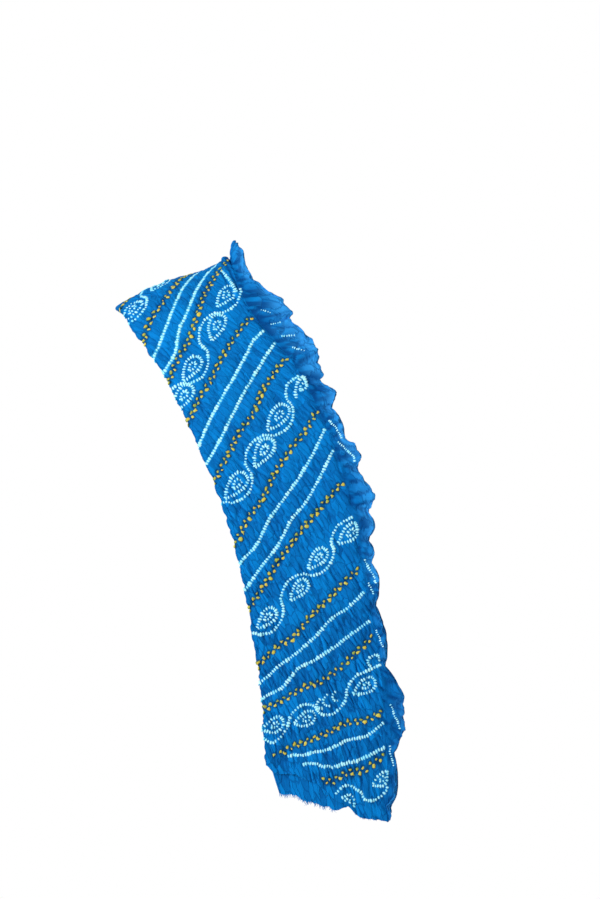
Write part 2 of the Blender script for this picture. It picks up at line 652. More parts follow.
def row_field(run, across, x, drop):
    """Distance along the rows and across them, and the distances to the rows before and after."""
    runs = np.stack([row_run(row, across) for row in ROWS])
    before = np.clip((runs < run).sum(axis=0) - 1, 0, len(ROWS) - 2)
    picks = np.arange(len(run))
    low, high = runs[before, picks], runs[before + 1, picks]
    share = np.clip((run - low) / np.maximum(high - low, 1e-6), -1.0, 2.0)
    start = ROW_FOLDS[before] + (ROW_FOLDS[before + 1] - ROW_FOLDS[before]) * share[:, None]
    way = unit(ROW_WAYS[before] + (ROW_WAYS[before + 1] - ROW_WAYS[before]) * share[:, None])
    shift = ROW_ALONGS[before] + (ROW_ALONGS[before + 1] - ROW_ALONGS[before]) * share
    spacing = ROW_OVERS[before + 1] - ROW_OVERS[before]
    along = (x - start[:, 0]) * way[:, 0] + (drop - start[:, 1]) * way[:, 1] + shift
    return RowField(along, ROW_OVERS[before] + spacing * share,
                    np.abs(share) * spacing, np.abs(1 - share) * spacing)


# ---------------------------------------------------------------------------------- cloth surface
def fold_nip(run, across):
    """The folded edge draws in at each yellow row and runs a little uneven between."""
    ends = np.array([row.fold_run for row in ROWS if row.dye == "yellow"])
    distance = np.abs(run[..., None] - ends).min(axis=-1)
    uneven = drift(run * FALL_LENGTH / FOLD_UNEVEN_PITCH, 0.0, 17) - 0.5
    nip = FOLD_SCALLOP * bell(distance, PINCH_WIDTH) + FOLD_UNEVEN * uneven
    return nip * ease(1 - across / SCALLOP_WIDTH)


def outer_middle(run, across):
    """Middle of the outer layer before it is crinkled."""
    x, drop = cloth_place(run, across)
    fold_x, fold_drop, tie_x, tie_drop = section_at(run)
    width = np.hypot(tie_x - fold_x, tie_drop - fold_drop)
    nip = fold_nip(run, across) / width
    x = x + (tie_x - fold_x) * nip
    drop = drop + (tie_drop - fold_drop) * nip
    margin = margin_share(across)
    lift = frill_at(run)[1]
    stand = lift * margin**MARGIN_RISE_POWER * (1 - EDGE_CURL * margin**EDGE_CURL_POWER)
    drag = DRAG_SHARE * lift * bell(1 - np.minimum(across, 1.0), DRAG_LENGTH)
    heap = HEAP_HEIGHT * on_ridge(run) * bell(across - HEAP_ACROSS, HEAP_WIDTH)
    rise = OUTER_RISE + drag + stand + heap
    return figure_point(x, drop) + figure_normal(x, drop) * rise[..., None]


def outer_normal(run, across):
    along = outer_middle(run + PROBE_RUN, across) - outer_middle(run - PROBE_RUN, across)
    over = outer_middle(run, np.minimum(across + PROBE_ACROSS, 2.0))
    over = over - outer_middle(run, np.maximum(across - PROBE_ACROSS, 0.0))
    return unit(np.cross(along, over))


def outer_layer_point(run, across, relief):
    """Outer layer with its fold: across below 0 counts steps round the folded edge."""
    body_across = np.maximum(across, 0.0)
    place = stretched(run, body_across, "outer")
    middle = outer_middle(place, body_across)
    normal = outer_normal(place, body_across)
    body = middle + normal * relief[..., None]
    turn = np.clip(-across, 0.0, FOLD_STEPS) / FOLD_STEPS * math.pi
    back_in = np.clip(-across - FOLD_STEPS, 0.0, 1.0) * FOLD_RETURN
    inwards = outer_middle(place, body_across + PROBE_ACROSS) - middle
    inwards = unit(inwards - normal * np.sum(inwards * normal, axis=-1, keepdims=True))
    radius = LAYER_PITCH / 2
    side = (back_in - (radius + relief) * np.sin(turn))[..., None]
    depth = (radius - (radius + relief) * np.cos(turn))[..., None]
    edge = middle + inwards * side - normal * depth
    return np.where((across < 0)[..., None], edge, body)


def under_layer_point(run, across, relief):
    """Under layer: the outer layer's smooth surface, moved in by the layer pitch."""
    place = stretched(run, across, "under")
    normal = outer_normal(place, across)
    closing = RIDGE_CLOSING * on_ridge(run) * ease(2 * (across - 1))
    return outer_middle(place, across) + normal * (relief - LAYER_PITCH * (1 - closing))[..., None]


# -------------------------------------------------------------------------------------- the ties
# Each tie: where it sits, where its line goes on to, its size along and across that line, its
# height, its dye (0 white, 1 yellow), a shade from 0 to 1 and how much it tints the cloth round it.
Tie = namedtuple("Tie", "run across next_run next_across length width height dye shade halo")


def even_marks(places, pitch, seed, loose):
    """Steps of about one pitch along a line of (x, drop) places, as fractions of its samples."""
    steps = np.linalg.norm(np.diff(places, axis=0), axis=1)
    total = np.concatenate([[0.0], np.cumsum(steps)])
    count = max(int(total[-1] / pitch), 1)
    marks = (np.arange(count) + 0.5) * total[-1] / count
    marks = marks + (scatter(np.arange(count), 0, seed) - 0.5) * 2 * loose * pitch
    return np.interp(marks, total, np.arange(len(places)))


def tied_place(run, across):
    fold_x, fold_drop, tie_x, tie_drop = section_at(run)
    return fold_x + (tie_x - fold_x) * across, fold_drop + (tie_drop - fold_drop) * across


def run_and_across(points, run, across):
    """Turns places (x, drop) into (run, across), starting from near ones."""
    run = np.broadcast_to(np.asarray(run, dtype=float), len(points)).copy()
    across = np.broadcast_to(np.asarray(across, dtype=float), len(points)).copy()
    nudge = 1e-4
    for _ in range(8):
        x, drop = tied_place(run, across)
        run_x, run_drop = [(moved - still) / nudge for moved, still
                           in zip(tied_place(run + nudge, across), (x, drop))]
        across_x, across_drop = [(moved - still) / nudge for moved, still
                                 in zip(tied_place(run, across + nudge), (x, drop))]
        miss_x, miss_drop = points[:, 0] - x, points[:, 1] - drop
        size = run_x * across_drop - across_x * run_drop
        run = run + (miss_x * across_drop - miss_drop * across_x) / size
        across = across + (miss_drop * run_x - miss_x * run_drop) / size
    return run, across


def downward(ways):
    """Unit vectors square to the given ones, turned towards the hem."""
    aside = np.stack([-ways[..., 1], ways[..., 0]], axis=-1)
    return aside * np.where(aside[..., 1:] < 0, -1.0, 1.0)


def line_of_ties(run, across, kind, seed, lay=tied_place):
    """Ties at an even pitch along a line given by many (run, across) samples."""
    places = np.stack(lay(run, across), axis=1)
    marks = even_marks(places, kind.pitch, seed, kind.loose)
    samples = np.arange(len(run))
    ahead = np.minimum(marks + 0.5, len(run) - 1)
    behind = ahead - 0.5
    tie_run, tie_across = np.interp(marks, samples, run), np.interp(marks, samples, across)
    next_run = tie_run + np.interp(ahead, samples, run) - np.interp(behind, samples, run)
    next_across = (tie_across + np.interp(ahead, samples, across)
                   - np.interp(behind, samples, across))
    cells = np.arange(len(marks))
    size = TIE_LEAST + TIE_PLAY * scatter(cells, 1, seed)
    full = np.ones(len(marks))
    return Tie(tie_run, tie_across, next_run, next_across, full * kind.length * size,
               full * kind.width * size, full * kind.height * size, full * kind.dye,
               scatter(cells, 2, seed), full * kind.halo)


def lower_share(run):
    """0 on the shoulder, 1 towards a hem."""
    return ease(np.abs(run) * LOWER_STEEPNESS - LOWER_DELAY)


def row_of_ties(row, seed):
    across = np.linspace(ROW_START, ROW_END, ROW_SAMPLES)
    run = row_run(row, across) + (row.tie_run - row.fold_run) * np.minimum(across, 0)
    run = run + ROW_WOBBLE * 2 * (drift(across * ROW_WOBBLES, float(seed), 91) - 0.5)
    if row.dye == "white":
        low = float(lower_share(np.array(row.fold_run)))
        kind = Kind(*[high + low * (hem - high) for high, hem in zip(WHITE_KIND, HEM_WHITE_KIND)])
        return line_of_ties(run, across, kind, seed)
    ties = line_of_ties(run, across, YELLOW_KIND, seed)
    points = np.stack(tied_place(ties.run, ties.across), axis=1)
    down = downward(unit(np.gradient(points, axis=0)))
    large = np.arange(len(ties.run)) % 2 == 0
    points = points + down * np.where(large, YELLOW_ZIGZAG, -YELLOW_ZIGZAG)[:, None]
    tie_run, tie_across = run_and_across(points, ties.run, ties.across)
    size = ties.length / YELLOW_KIND.length
    return ties._replace(
        run=tie_run, across=tie_across, next_run=ties.next_run + tie_run - ties.run,
        next_across=ties.next_across + tie_across - ties.across,
        length=np.where(large, ties.length, size * OLIVE_LENGTH),
        width=np.where(large, ties.width, size * OLIVE_WIDTH),
        shade=np.where(large, 0.50 + 0.60 * ties.shade, 0.65 * ties.shade))


def leaf_line(stroke):
    """One line of a leaf, whose tip is at (1, 0) and whose round end is at (-1, 0)."""
    turn = np.linspace(stroke.start, stroke.end, LINE_SAMPLES) * 2 * math.pi
    if isinstance(stroke, Arc):
        return np.stack([stroke.middle + stroke.size * np.cos(turn),
                         ARC_BREADTH * stroke.size * np.sin(turn)], axis=1)
    belly = LEAF_BELLY * np.sin(turn) * np.abs(np.sin(turn / 2)) ** LEAF_POINT
    return np.stack([np.cos(turn), belly], axis=1) * stroke.share + np.array([stroke.back, 0.0])


def through(places):
    """A smooth line through a few places."""
    along = np.linspace(0, len(places) - 1, LINE_SAMPLES)
    return np.stack([spline(column, along) for column in zip(*places)], axis=1)


def leaf_of_ties(centre, near, tip_way, size, seed, drawing):
    """A leaf: an outer ring of ties and a small inner one, or a looser drawing."""
    side_way = np.array([-tip_way[1], tip_way[0]])
    ties = []
    for number, stroke in enumerate(LEAF_DRAWINGS[drawing]):
        line = leaf_line(stroke)
        along = line[:, 0] * LEAF_HALF_LENGTH * size
        aside = line[:, 1] * LEAF_HALF_WIDTH * size
        points = centre + along[:, None] * tip_way + aside[:, None] * side_way
        kind = COMMA_KIND if isinstance(stroke, Arc) else RING_KIND
        width = kind.width * (0.50 + 0.50 * size) - (INNER_RING_THINNER if number else 0.0)
        ties.append(line_of_ties(*run_and_across(points, *near), kind._replace(width=width),
                                 seed + number))
    return ties


def band_line(above, below, across):
    run = (row_run(above, across) + row_run(below, across)) / 2
    slope = (above.tie_run - above.fold_run + below.tie_run - below.fold_run) / 2
    return run + slope * np.minimum(across, 0.0) + slope * np.maximum(across - 1.0, 0.0)


def vine_band(above, below, band, seed):
    """Leaves between two yellow rows, and the vine that winds round them."""
    ties = []
    vine_across, vine_swing = [], []
    side = band.first_side
    marks = [VINE_START] + list(band.leaves) + [band.leaves[-1] - VINE_TAIL]
    for index, (mark, next_mark) in enumerate(zip(marks[:-1], marks[1:])):
        for share in np.linspace(0, 1, VINE_SAMPLES)[:-1]:
            wave = math.cos(math.pi * share)
            wave = math.copysign(abs(wave) ** VINE_SQUARENESS, wave)
            vine_across.append(mark + (next_mark - mark) * share)
            vine_swing.append(side * (wave if index else 0.55 + 0.45 * share))
        if index:
            side = -side
    side = band.first_side
    for index, across in enumerate(band.leaves):
        ends = [np.array(tied_place(band_line(above, below, np.array(end)), end))
                for end in (across + 0.02, across - 0.02)]
        tip_way = unit(ends[1] - ends[0])
        down_way = downward(tip_way)
        lean = LEAF_LEAN * (scatter(index, seed, 5) - 0.5)
        tip_way = unit(tip_way + down_way * (lean - LEAF_TURN * side))
        run = float(band_line(above, below, np.array(across)))
        middle = np.array(tied_place(np.array(run), across))
        size = band.size * (LEAF_LEAST + LEAF_PLAY * scatter(index, seed, 6))
        centre = middle - down_way * side * LEAF_ASIDE
        drawing = band.odd_drawing if index == band.odd_leaf else "whole"
        ties += leaf_of_ties(centre, (run, across), tip_way, size, seed + 10 * index, drawing)
        side = -side
    across = np.array(vine_across)
    run = band_line(above, below, across)
    points = np.stack(tied_place(run, across), axis=1)
    down = downward(unit(np.gradient(points, axis=0)))
    swing = VINE_SWING * (0.35 + 0.65 * band.size)
    points = points + down * (np.array(vine_swing) * swing)[:, None]
    run, across = run_and_across(points, run, across)
    keep = (across > FOLD_END) & (across < VINE_START)
    if keep.sum() > 8:
        ties.append(line_of_ties(run[keep], across[keep], VINE_KIND, seed + 3))
    return ties


def stray_lines():
    """Short lines on the frill past the front rows, the first vine's lead, and a hooked leaf."""
    ties = []
    for number, row in enumerate(FRONT_ROWS):
        chance, place, length, slope = (float(scatter(number, 0, seed))
                                        for seed in (61, 62, 63, 64))
        if row.tie_run < 0 or chance > STRAY_SHARE:
            continue
        first = STRAY_FIRST + STRAY_UNEVEN * place
        across = np.linspace(first, first + STRAY_LENGTH * (0.5 + length), LINE_SAMPLES)
        run = row.tie_run - STRAY_RISE + (across - first) * STRAY_SLOPE * slope
        size = STRAY_SIZE * (0.9 + 0.4 * length)
        kind = Kind(RING_KIND.pitch * (0.7 + 0.3 * size), RING_KIND.length * size + 0.6 * MM,
                    RING_KIND.width * size, TIE_HEIGHT * size, 0.0, VINE_HALO * size, 0.15)
        ties.append(line_of_ties(run, across, kind, 700 + number, cloth_place))
    run, across = np.linspace(LEAD_START, LEAD_END, LINE_SAMPLES).T
    ties.append(line_of_ties(run, across, VINE_KIND, 740))
    points = [np.array(tied_place(SMALL_LEAF_RUN, SMALL_LEAF_ACROSS + end)) for end in (0.02, 0)]
    ties += leaf_of_ties(points[1], (SMALL_LEAF_RUN, SMALL_LEAF_ACROSS),
                         unit(points[1] - points[0]), SMALL_LEAF_SIZE, 760, "hook")
    return ties


def all_ties():
    """Every tie of the stole."""
    ties = []
    vine_number = 0
    doubles = [first.dye == second.dye == "yellow" for first, second in zip(ROWS[:-1], ROWS[1:])]
    back_vines = sum(doubles) - len(FRONT_VINES)
    for number, row in enumerate(ROWS):
        ties.append(row_of_ties(row, number + 1))
        if number and doubles[number - 1]:
            vine = (FRONT_VINES[vine_number - back_vines] if vine_number >= back_vines
                    else BACK_VINES[vine_number % len(BACK_VINES)])
            ties += vine_band(ROWS[number - 1], row, vine, 100 + 9 * vine_number)
            vine_number += 1
    ties += vine_band(ROWS[-1], ROW_PAST_HEM, HEM_VINE, 100 + 9 * vine_number)
    ties += stray_lines()
    joined = Tie(*[np.concatenate(column) for column in zip(*ties)])
    furthest = np.interp(joined.across, *zip(*HEM_KEEP))
    kept = (np.abs(joined.run) < furthest) & (joined.across > KEEP_FROM) & (joined.across < KEEP_TO)
    return Tie(*[column[kept] for column in joined])


# --------------------------------------------------------------------------------------- crinkle
def tie_tree(ties):
    tree = kdtree.KDTree(len(ties.run))
    x, drop = tied_place(ties.run, ties.across)
    frill_x, frill_drop = cloth_place(ties.run, ties.across)
    on_frill = ties.across > 1
    x, drop = np.where(on_frill, frill_x, x), np.where(on_frill, frill_drop, drop)
    for index, place in enumerate(zip(x, drop)):
        tree.insert((place[0], place[1], 0.0), index)
    tree.balance()
    return tree


def nearest_tie(tree, x, drop):
    """Distance to the nearest tie, and its number."""
    found = [tree.find((place_x, place_drop, 0.0)) for place_x, place_drop in zip(x, drop)]
    return (np.array([distance for _, _, distance in found]),
            np.array([number for _, number, _ in found]))


Crinkle = namedtuple("Crinkle", "height crease knot stain along over")


def long_creases(run, across):
    """Long creases that run down the stole, and how dark they are."""
    down = run * FALL_LENGTH
    aside = across * TIED_WIDTH - CREASE_LEAN * down * (1 + LOWER_LEAN * np.abs(run))
    aside = aside + CREASE_BEND * swells(down, aside, CREASE_BENDS, 3)
    x = aside / CREASE_PITCH
    y = down / CREASE_LENGTH + CREASE_STAGGER * drift(aside / CREASE_STAGGER_WIDTH, 0.0, 5)
    bold = 0.20 + 0.80 * ease(2.0 * swells(aside, down, BOLD_PATCHES, 47) - 0.40)
    bold = bold * (0.56 + 0.44 * lower_share(run))
    return [borders(x, y, 11, width) * bold for width in (CREASE_WIDTH, CREASE_DARK_WIDTH)]


def placed_folds(run, across):
    """Depth of the folds that were set one by one, and how dark they are."""
    x, drop = cloth_place(run, across)
    depth, dark = np.zeros(len(run)), np.zeros(len(run))
    for fold in FOLDS:
        fold_run, fold_across = through(fold.places).T
        close = (run > fold_run.min() - FOLD_NEAR_RUN) & (run < fold_run.max() + FOLD_NEAR_RUN)
        fold_x, fold_drop = cloth_place(fold_run, fold_across)
        gap = np.hypot(x[close][:, None] - fold_x, drop[close][:, None] - fold_drop).min(axis=1)
        share = bell(gap, fold.width_mm * MM)
        depth[close] = np.maximum(depth[close], share * fold.depth_mm * MM)
        dark[close] = np.maximum(dark[close], share)
    return depth, dark


def tied_relief(field, crease, facets, near):
    """Height of the tied cloth, and its puckers beside the rows."""
    along, over = field.along, field.over
    row_gap = np.minimum(field.above, field.below)
    bent = along + PUCKER_BEND * swells(along, over, PUCKER_BENDS, 7)
    pucker = borders(bent / PUCKER_PITCH, over / PUCKER_LENGTH, 19, PUCKER_WIDTH)
    pucker = pucker * (0.30 + 0.70 * np.exp(-row_gap / PUCKER_REACH))
    held = bell(row_gap, HELD_REACH)
    return (
        PUFF_HEIGHT * (1 - held)
        - PINCH_DEPTH * held
        + SWELL_HEIGHT * (swells(along, over, CLOTH_SWELLS, 23) - 0.5)
        + FACET_HEIGHT * facets
        - CREASE_DEPTH * (crease - 0.3) * (1 - 0.4 * held)
        - PUCKER_DEPTH * (pucker - 0.2)
        - KNOT_DEPTH * near
    ), pucker


def frill_relief(run, margin, facets, near):
    """Height of the frill, its darkness, its gathers and its ruffles."""
    edge = run * FALL_LENGTH
    slant = edge + margin * FRILL_SLANT * (frill_swells(run, margin, FRILL_SLANTS, 53) - 0.5)
    fold_x = slant / FRILL_FOLD_PITCH + 0.8 * frill_swells(run, margin, FRILL_STAGGERS, 37)
    fold, fold_dark = (borders(fold_x, margin * 0.55 + 0.3, 43, width)
                       for width in (FRILL_FOLD_WIDTH, FRILL_DARK_WIDTH))
    shift = frill_swells(run, margin, FRILL_PUCKER_SHIFTS, 39)
    loose = borders(slant / FRILL_PUCKER_PITCH, margin * 3.2 + shift, 45, GATHER_WIDTH)
    gather = borders(slant / GATHER_PITCH, margin * 0.8, 31, GATHER_WIDTH)
    gather = gather * (1 - 0.75 * lower_share(run))
    root = np.exp(-margin / GATHER_REACH)
    ruffle = frill_swells(run, margin, RUFFLES, 41)
    height = (
        -GATHER_DEPTH * (gather - 0.3) * root
        - FRILL_FOLD_DEPTH * (fold - 0.4) * ease(margin / 0.5)
        - FRILL_PUCKER_DEPTH * (loose - 0.3)
        + RUFFLE_HEIGHT * (ruffle - 0.5) * margin
        + FACET_HEIGHT * facets
        - 0.5 * KNOT_DEPTH * near
    )
    dark = 0.5 * gather * root + 1.2 * fold_dark * ease(margin / 0.3) + 0.3 * loose
    return height, dark * (1 - 0.45 * lower_share(run)), gather, ruffle


def crinkle(run, across, ties, tree, strength):
    """Height of the crinkles, and the marks that the finish reads."""
    tied, margin = np.clip(across, 0.0, 1.0), margin_share(across)
    field = row_field(run, tied, *tied_place(run, tied))
    distance, number = nearest_tie(tree, *cloth_place(run, np.maximum(across, 0.0)))
    near = bell(distance, KNOT_REACH)
    knot = bell(distance, HALO_REACH) * (1 - ties.dye[number]) * ties.halo[number]
    stain = bell(distance, STAIN_REACH) * ties.dye[number] * ties.halo[number]
    crease, crease_dark = long_creases(run, tied)
    facets = swells(field.along, field.over, FACETS, 29) - 0.5
    tied_height, pucker = tied_relief(field, crease, facets, near)
    frill_height, frill_dark, gather, ruffle = frill_relief(run, margin, facets, near)
    blend = ease(margin / FRILL_BLEND)
    gathered = bell(1 - tied, GATHERED_WIDTH) * (1 - blend)
    gathered = gathered * (1 - 0.85 * lower_share(run))
    height = tied_height * (1 - blend) + frill_height * blend
    height = height - GATHER_DEPTH * gathered * (0.4 + gather)
    limit = RELIEF_LIMIT * (1 + margin)
    height = np.tanh(height / limit) * limit
    fold_depth, fold_darkness = placed_folds(run, np.maximum(across, 0.0))
    height = np.maximum(height - fold_depth, np.minimum(height, -FOLD_FLOOR))
    selvedge = ease((margin - SELVEDGE_START) / SELVEDGE_WIDTH)
    depth = (np.maximum(crease_dark, 0.45 * pucker) * (1 - blend) + frill_dark * blend
             + gathered * (0.05 + 0.8 * gather) * (0.3 + 1.2 * ruffle) + 0.35 * selvedge)
    depth = np.maximum(depth, 1.25 * fold_darkness)
    return Crinkle(strength * height, np.clip(depth, 0.0, 1.5), knot, stain,
                   field.along, field.over)


# ------------------------------------------------------------------------------------ finishes
def input_named(node, name):
    for socket in node.inputs:
        if socket.identifier == name or socket.name == name:
            return socket
    raise KeyError(f"{node.bl_idname} has no input {name}")


class Wire:
    """A value on its way through a finish, which can be added, multiplied and so on."""

    def __init__(self, finish, socket):
        self.finish = finish
        self.socket = socket

    def sum(self, operation, first, second):
        return self.finish.node("ShaderNodeMath", {"operation": operation}, {0: first, 1: second})

    def __add__(self, other):
        return self.sum("ADD", self, other)

    def __radd__(self, other):
        return self.sum("ADD", other, self)

    def __sub__(self, other):
        return self.sum("SUBTRACT", self, other)

    def __rsub__(self, other):
        return self.sum("SUBTRACT", other, self)

    def __mul__(self, other):
        return self.sum("MULTIPLY", self, other)

    def __rmul__(self, other):
        return self.sum("MULTIPLY", other, self)

    def clamped(self):
        return self.finish.node("ShaderNodeClamp", {}, {"Value": self})


class Finish:
    """One procedural material and its nodes."""

    def __init__(self, name, roughness=0.8):
        self.material = bpy.data.materials.new(name)
        self.material.use_nodes = True
        self.tree = self.material.node_tree
        self.shader = self.tree.nodes["Principled BSDF"]
        self.shader.inputs["Roughness"].default_value = roughness
        self.shader.inputs["Specular IOR Level"].default_value = CLOTH_SPECULAR

    def node(self, kind, settings, values, output=0):
        node = self.tree.nodes.new(kind)
        for key, value in settings.items():
            setattr(node, key, value)
        for key, value in values.items():
            socket = node.inputs[key] if isinstance(key, int) else input_named(node, key)
            if isinstance(value, Wire):
                self.tree.links.new(value.socket, socket)
            else:
                socket.default_value = value
        return Wire(self, node.outputs[output])

    def place(self):
        return self.node("ShaderNodeTexCoord", {}, {}, "Object")

    def flat_map(self, name):
        return self.node("ShaderNodeUVMap", {"uv_map": name}, {})

    def mark(self, name):
        """A number painted on the mesh."""
        return self.node("ShaderNodeAttribute", {"attribute_name": name}, {}, "Fac")

    def mapped(self, vector, **change):
        return self.node("ShaderNodeMapping", {"vector_type": "POINT"}, {"Vector": vector, **change})

    def blend(self, share, first, second):
        """From the first colour to the second."""
        first, second = (colour if isinstance(colour, Wire) else (*colour, 1.0)
                         for colour in (first, second))
        return self.node("ShaderNodeMix", {"data_type": "RGBA"},
                         {"Factor_Float": share, "A_Color": first, "B_Color": second},
                         MIX_COLOUR_OUTPUT)

    def noise(self, place, scale, detail=2.0, roughness=0.5):
        return self.node("ShaderNodeTexNoise", {"noise_dimensions": "3D"},
                         {"Vector": place, "Scale": scale, "Detail": detail,
                          "Roughness": roughness})

    def threads(self, place, direction):
        return self.node("ShaderNodeTexWave", {"bands_direction": direction},
                         {"Vector": place, "Scale": THREADS_PER_METRE, "Distortion": 0.6,
                          "Detail": 1.0, "Detail Scale": 0.4})

    def smooth(self, value, low, high):
        """0 below low, 1 above high."""
        return self.node("ShaderNodeMapRange", {"interpolation_type": "SMOOTHSTEP"},
                         {"Value": value, "From Min": low, "From Max": high})

    def bump(self, height, distance, strength, below=None):
        values = {"Height": height, "Distance": distance, "Strength": strength}
        if below is not None:
            values["Normal"] = below
        return self.node("ShaderNodeBump", {}, values)

    def feed(self, name, wire):
        self.tree.links.new(wire.socket, self.shader.inputs[name])


def sharp_folds(finish, place, turn, scale, bend):
    """Flat patches of cloth: 1 on the sharp folds between them, and a shade for each patch."""
    spread = finish.mapped(finish.mapped(place, Rotation=(0.0, 0.0, turn)), Scale=scale)
    moved = finish.node("ShaderNodeVectorMath", {"operation": "ADD"},
                        {0: spread, 1: finish.noise(place, bend)})
    edge, patch = (finish.node("ShaderNodeTexVoronoi",
                               {"voronoi_dimensions": "2D", "feature": feature},
                               {"Vector": moved, "Scale": 1.0}, output)
                   for feature, output in (("DISTANCE_TO_EDGE", 0), ("F1", "Color")))
    return 1.0 - finish.smooth(edge, 0.0, LINE_WIDTH), finish.smooth(patch, 0.30, 0.70)


def crinkled_voile(name, settings, under, frill):
    """Thin crinkled cloth: uneven dye, dark creases beside the ties, fine plain weave."""
    finish = Finish(name)
    weave, place = finish.flat_map("weave"), finish.place()
    crease, low = finish.mark("crease"), finish.mark("low")

    wander = finish.noise(finish.mapped(finish.flat_map("rows"), Scale=(1.0, 0.30, 1.0)),
                          260.0, 2.0, 0.55)
    line = 1.0 - finish.node("ShaderNodeMath", {"operation": "ABSOLUTE"},
                             {0: (wander - 0.5) * 9.0})
    line = line.clamped()
    slow = finish.noise(place, 26.0)
    patches = finish.noise(place, 110.0, 3.0, 0.6)

    # the dye: lighter in patches, darker lower down and in the creases
    lighter = [part * LIGHTER_DYE for part in settings.dye]
    dye = finish.blend(finish.smooth(slow, 0.30, 0.70), settings.dye_low, settings.dye)
    dye = finish.blend(finish.smooth(patches, 0.50, 0.75) * 0.35, dye, lighter)
    dye = finish.blend(low * 0.80, dye, settings.dye_low)
    dye = finish.blend(low * 0.20, dye, settings.dye_deep)
    creased = finish.smooth(crease, 0.15, 0.90) * 0.90 + line * 0.16
    colour = finish.blend(creased.clamped(), dye, settings.dye_deep)
    if under:
        colour = finish.blend(UNDER_DARKENING, colour, settings.dye_low)

    # flat facets with sharp folds between them; the frill is one thin layer, so it is paler
    if frill:
        thin = finish.mark("thin")
        colour = finish.blend(finish.smooth(thin, 0.10, 0.65) * 0.88, colour, settings.dye_pale)
        fold_line, patch = sharp_folds(finish, weave, 0.0, FRILL_LINES, FRILL_LINE_BEND)
        away = finish.smooth(thin, 0.0, 0.20)
        line_share, patch_share = away * 0.55, away * 0.20
        light, dark = settings.dye_pale, settings.dye_deep
    else:
        fold_line, patch = sharp_folds(finish, weave, CREASE_LEAN * 1.3, CREASE_LINES,
                                       CREASE_LINE_BEND)
        line_share, patch_share = 0.24 + low * 0.34, 0.42 + low * 0.22
        light, dark = lighter, settings.dye_low
    colour = finish.blend(patch * patch_share, colour, light)
    colour = finish.blend((1.0 - patch) * patch_share * 0.6, colour, dark)
    colour = finish.blend(fold_line * line_share, colour, settings.dye_deep)
    if not under:
        knot = finish.smooth(finish.mark("knot"), 0.28, 0.85) * 0.70
        stain = finish.smooth(finish.mark("stain"), 0.22, 0.80) * 0.76
        colour = finish.blend(knot, colour, settings.rim)
        colour = finish.blend(stain, colour, settings.dye_dark)

    grain = finish.threads(weave, "X") * finish.threads(weave, "Y")
    finish.feed("Base Color", finish.blend(grain * 0.04, colour, settings.dye_pale))
    finish.feed("Roughness", 0.72 + patches * 0.14)
    relief = None
    for height, distance, strength in (
            (1.0 - line, 0.4 * MM, 0.5), (1.0 - fold_line, 0.6 * MM, 0.6), (patch, 0.5 * MM, 0.4),
            (patches, 0.7 * MM, 0.4), (grain, 0.06 * MM, 0.30)):
        relief = finish.bump(height, distance, strength, relief)
    finish.feed("Normal", relief)
    return finish.material


def tie_finish(name, foot, dull, bright, tip, blotchy, foot_end):
    """A tied point: undyed cloth that runs into the dye at its foot."""
    finish = Finish(name)
    lift, shade, place = finish.mark("lift"), finish.mark("shade"), finish.place()
    grain = finish.noise(place, 900.0, 2.0, 0.6)
    blot = finish.noise(place, 330.0 + 120.0 * blotchy, 2.0, 0.6)
    body = finish.blend((shade + (blot - 0.5) * blotchy).clamped(), dull, bright)
    body = finish.blend(finish.smooth(lift + (blot - 0.5) * 0.8, 0.92, 1.10), body, tip)
    edge = finish.smooth(lift + (grain - 0.5) * 0.30, FOOT_START, foot_end)
    finish.feed("Base Color", finish.blend(edge, foot, body))
    finish.feed("Normal", finish.bump(grain, 0.25 * MM, 0.5))
    return finish.material


def thread_finish(name, settings):
    finish = Finish(name)
    shade = finish.mark("shade")
    grain = finish.noise(finish.place(), 700.0)
    colour = finish.blend(shade, settings.dye, settings.dye_pale)
    finish.feed("Base Color", finish.blend(grain * 0.3, colour, settings.dye_deep))
    finish.feed("Normal", finish.bump(grain, 0.1 * MM, 0.4))
    return finish.material


def matt_finish(name, colour):
    finish = Finish(name, 0.9)
    paler = tuple(min(1.0, part * 1.02) for part in colour)
    finish.feed("Base Color", finish.blend(finish.noise(finish.place(), 3.0), colour, paler))
    return finish.material


def finish_once(name, make, *details):
    """The material of this name, made the first time that it is asked for."""
    return bpy.data.materials.get(name) or make(name, *details)


# --------------------------------------------------------------------------------- mesh makers
def deselect():
    bpy.ops.object.select_all(action="DESELECT")


def apply_modifiers(piece):
    deselect()
    bpy.context.view_layer.objects.active = piece
    piece.select_set(True)
    for modifier in list(piece.modifiers):
        bpy.ops.object.modifier_apply(modifier=modifier.name)


def vertex_places(mesh):
    places = np.empty(len(mesh.vertices) * 3)
    mesh.vertices.foreach_get("co", places)
    return places.reshape(-1, 3)


def paint(mesh, name, values):
    """Stores one number for each vertex."""
    mark = mesh.attributes.new(name, "FLOAT", "POINT")
    mark.data.foreach_set("value", np.asarray(values, dtype=np.float32))


def lay_out(mesh, name, first, second):
    """A flat map of the cloth, in metres."""
    corners = np.empty(len(mesh.loops), dtype=np.int32)
    mesh.loops.foreach_get("vertex_index", corners)
    flat = mesh.uv_layers.get(name) or mesh.uv_layers.new(name=name)
    flat.data.foreach_set("uv", np.stack([first[corners], second[corners]], axis=1).ravel())


def shape_up(piece, name, points, material):
    """Gives a piece its points, its name and its material, and takes a primitive's map away."""
    mesh = piece.data
    piece.name = mesh.name = name
    mesh.vertices.foreach_set("co", points.ravel())
    while mesh.uv_layers:
        mesh.uv_layers.remove(mesh.uv_layers[0])
    mesh.materials.append(material)
    mesh.update()
    return mesh


def even_steps(start, end, pitch):
    steps = max(1, round(abs(end - start) / pitch))
    return np.linspace(start, end, steps + 1)


